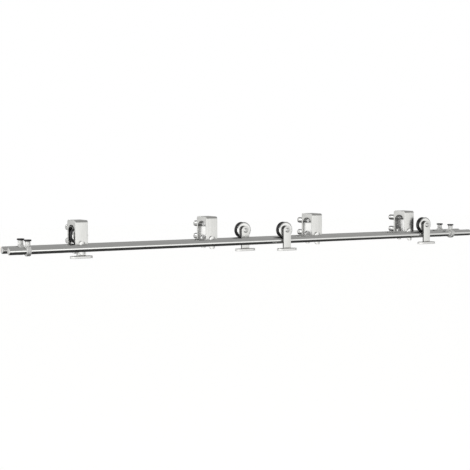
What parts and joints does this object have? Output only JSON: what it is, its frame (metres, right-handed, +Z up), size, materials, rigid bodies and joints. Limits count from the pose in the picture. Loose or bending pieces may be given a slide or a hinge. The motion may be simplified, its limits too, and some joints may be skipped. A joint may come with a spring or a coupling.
{
  "type": "bypass sliding barn door hardware",
  "caption": "Bypass sliding-door kit: two parallel round rails on arch wall brackets, with top-mount roller hangers and end stops.",
  "frame": {"origin": "on the wall plane, at mid-length of the rails, at the height of the rail axes", "axes": "+X along the rails to the right as seen from the room, +Y into the wall, +Z up"},
  "size_m": [2.004, 0.1763, 0.132],
  "materials": {
    "polished_steel": "polished stainless tube and turned parts",
    "brushed_plate": "fine brushed stainless plate",
    "zinc_screws": "plain steel screw",
    "black_nylon": "black nylon, satin",
    "black_rubber": "matt black rubber"
  },
  "bodies": {
    "rail_frame": {"rail_rear": "polished_steel", "end_cap_rear_left": "brushed_plate", "end_cap_rear_right": "brushed_plate", "rail_front": "polished_steel", "end_cap_front_left": "brushed_plate", "end_cap_front_right": "brushed_plate", "arch_bracket_1": "brushed_plate", "wall_standoff_1_lower": "polished_steel", "wall_screw_1_lower": "zinc_screws", "wall_standoff_1_upper": "polished_steel", "wall_screw_1_upper": "zinc_screws", "rail_saddle_1_rear": "brushed_plate", "rail_saddle_1_front": "brushed_plate", "arch_bracket_2": "brushed_plate", "wall_standoff_2_lower": "polished_steel", "wall_screw_2_lower": "zinc_screws", "wall_standoff_2_upper": "polished_steel", "wall_screw_2_upper": "zinc_screws", "rail_saddle_2_rear": "brushed_plate", "rail_saddle_2_front": "brushed_plate", "arch_bracket_3": "brushed_plate", "wall_standoff_3_lower": "polished_steel", "wall_screw_3_lower": "zinc_screws", "wall_standoff_3_upper": "polished_steel", "wall_screw_3_upper": "zinc_screws", "rail_saddle_3_rear": "brushed_plate", "rail_saddle_3_front": "brushed_plate", "arch_bracket_4": "brushed_plate", "wall_standoff_4_lower": "polished_steel", "wall_screw_4_lower": "zinc_screws", "wall_standoff_4_upper": "polished_steel", "wall_screw_4_upper": "zinc_screws", "rail_saddle_4_rear": "brushed_plate", "rail_saddle_4_front": "brushed_plate", "stop_collar_rear_left": "brushed_plate", "stop_bumper_rear_left": "black_rubber", "stop_collar_rear_right": "brushed_plate", "stop_bumper_rear_right": "black_rubber", "stop_collar_front_left": "brushed_plate", "stop_bumper_front_left": "black_rubber", "stop_collar_front_right": "brushed_plate", "stop_bumper_front_right": "black_rubber"},
    "hanger_body_rear_left": {"hanger_rear_left": "brushed_plate", "pivot_bolt_rear_left": "zinc_screws"},
    "wheel_body_rear_left": {"wheel_rear_left": "black_nylon", "wheel_cover_rear_left": "polished_steel"},
    "hanger_body_rear_right": {"hanger_rear_right": "brushed_plate", "pivot_bolt_rear_right": "zinc_screws"},
    "wheel_body_rear_right": {"wheel_rear_right": "black_nylon", "wheel_cover_rear_right": "polished_steel"},
    "hanger_body_front_left": {"hanger_front_left": "brushed_plate", "pivot_bolt_front_left": "zinc_screws"},
    "wheel_body_front_left": {"wheel_front_left": "black_nylon", "wheel_cover_front_left": "polished_steel"},
    "hanger_body_front_right": {"hanger_front_right": "brushed_plate", "pivot_bolt_front_right": "zinc_screws"},
    "wheel_body_front_right": {"wheel_front_right": "black_nylon", "wheel_cover_front_right": "polished_steel"}
  },
  "joints": [
    {"name": "rear_left_roll", "type": "slide", "parent": "rail_frame", "child": "hanger_body_rear_left", "axis": [1, 0, 0], "range_m": [-0.168, 0.2805]},
    {"name": "rear_left_wheel_spin", "type": "hinge", "parent": "hanger_body_rear_left", "child": "wheel_body_rear_left", "pos_m": [-0.723, -0.0763, 0.0388], "axis": [0, 1, 0], "continuous": true},
    {"name": "rear_right_roll", "type": "slide", "parent": "rail_frame", "child": "hanger_body_rear_right", "axis": [1, 0, 0], "range_m": [-0.2805, 0.918]},
    {"name": "rear_right_wheel_spin", "type": "hinge", "parent": "hanger_body_rear_right", "child": "wheel_body_rear_right", "pos_m": [-0.062, -0.0763, 0.0388], "axis": [0, 1, 0], "continuous": true},
    {"name": "front_left_roll", "type": "slide", "parent": "rail_frame", "child": "hanger_body_front_left", "axis": [1, 0, 0], "range_m": [-0.972, 0.2878]},
    {"name": "front_left_wheel_spin", "type": "hinge", "parent": "hanger_body_front_left", "child": "wheel_body_front_left", "pos_m": [0.081, -0.1423, 0.0388], "axis": [0, 1, 0], "continuous": true},
    {"name": "front_right_roll", "type": "slide", "parent": "rail_frame", "child": "hanger_body_front_right", "axis": [1, 0, 0], "range_m": [-0.2878, 0.0995]},
    {"name": "front_right_wheel_spin", "type": "hinge", "parent": "hanger_body_front_right", "child": "wheel_body_front_right", "pos_m": [0.7565, -0.1423, 0.0388], "axis": [0, 1, 0], "continuous": true}
  ],
  "couplings": [
    {"joint": "rear_left_wheel_spin", "follows": "rear_left_roll", "rad_per_m": 38.462},
    {"joint": "rear_right_wheel_spin", "follows": "rear_right_roll", "rad_per_m": 38.462},
    {"joint": "front_left_wheel_spin", "follows": "front_left_roll", "rad_per_m": 38.462},
    {"joint": "front_right_wheel_spin", "follows": "front_right_roll", "rad_per_m": 38.462}
  ]
}
